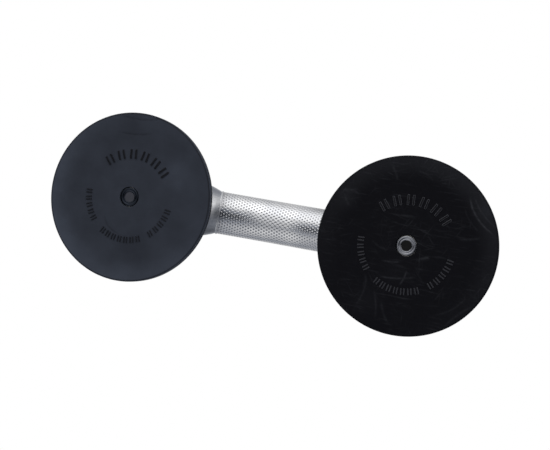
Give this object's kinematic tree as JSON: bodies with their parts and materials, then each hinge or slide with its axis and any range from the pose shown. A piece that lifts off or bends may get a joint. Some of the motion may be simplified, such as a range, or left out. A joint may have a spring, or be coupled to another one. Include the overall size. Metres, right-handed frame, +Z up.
{
  "type": "vacuum suction cup",
  "caption": "Hand lifter for glass: rubber suction cups under an arched metal grip, each with a folding cam lever that draws its pad centre up to make the vacuum.",
  "frame": {"origin": "midway between the two cups, in the plane that the rubber pads seal on", "axes": "+X along the handle from the left cup to the right cup, +Z up from the pads to the levers"},
  "size_m": [0.313, 0.118, 0.094],
  "materials": {
    "cast_aluminium": "satin die casting, dimpled on the grip",
    "lever_aluminium": "satin die casting, edges rubbed bright",
    "pad_rubber": "smooth moulded, faintly dusty",
    "plug_rubber": "matte",
    "plated_steel": "zinc plated",
    "turned_steel": "turned and nickel plated",
    "spring_steel": "oiled spring steel"
  },
  "bodies": {
    "frame": {"frame": "cast_aluminium", "left_pad": "pad_rubber", "left_wear_plate": "plated_steel", "left_release_spring": "spring_steel", "right_pad": "pad_rubber", "right_wear_plate": "plated_steel", "right_release_spring": "spring_steel"},
    "left_stud": {"left_stud": "turned_steel", "left_stud_plug": "plug_rubber", "left_pad_plate": "plated_steel", "left_spring_seat": "plated_steel"},
    "left_lever": {"left_lever": "lever_aluminium", "left_pivot_pin": "turned_steel", "left_pin_clips": "spring_steel"},
    "right_stud": {"right_stud": "turned_steel", "right_stud_plug": "plug_rubber", "right_pad_plate": "plated_steel", "right_spring_seat": "plated_steel"},
    "right_lever": {"right_lever": "lever_aluminium", "right_pivot_pin": "turned_steel", "right_pin_clips": "spring_steel"}
  },
  "joints": [
    {"name": "left_stud_lift", "type": "slide", "parent": "frame", "child": "left_stud", "axis": [0, 0, 1], "range_m": [0, 0.005], "deforming": ["left_release_spring"]},
    {"name": "left_lever_fold", "type": "hinge", "parent": "left_stud", "child": "left_lever", "pos_m": [-0.0975, 0, 0.042], "axis": [0, -1, 0], "range_deg": [0, 90]},
    {"name": "right_stud_lift", "type": "slide", "parent": "frame", "child": "right_stud", "axis": [0, 0, 1], "range_m": [0, 0.005], "deforming": ["right_release_spring"]},
    {"name": "right_lever_fold", "type": "hinge", "parent": "right_stud", "child": "right_lever", "pos_m": [0.0975, 0, 0.042], "axis": [0, 1, 0], "range_deg": [0, 90]}
  ],
  "couplings": [
    {"joint": "left_stud_lift", "follows": "left_lever_fold", "m_per_rad": 0.003183},
    {"joint": "right_stud_lift", "follows": "right_lever_fold", "m_per_rad": 0.003183}
  ]
}
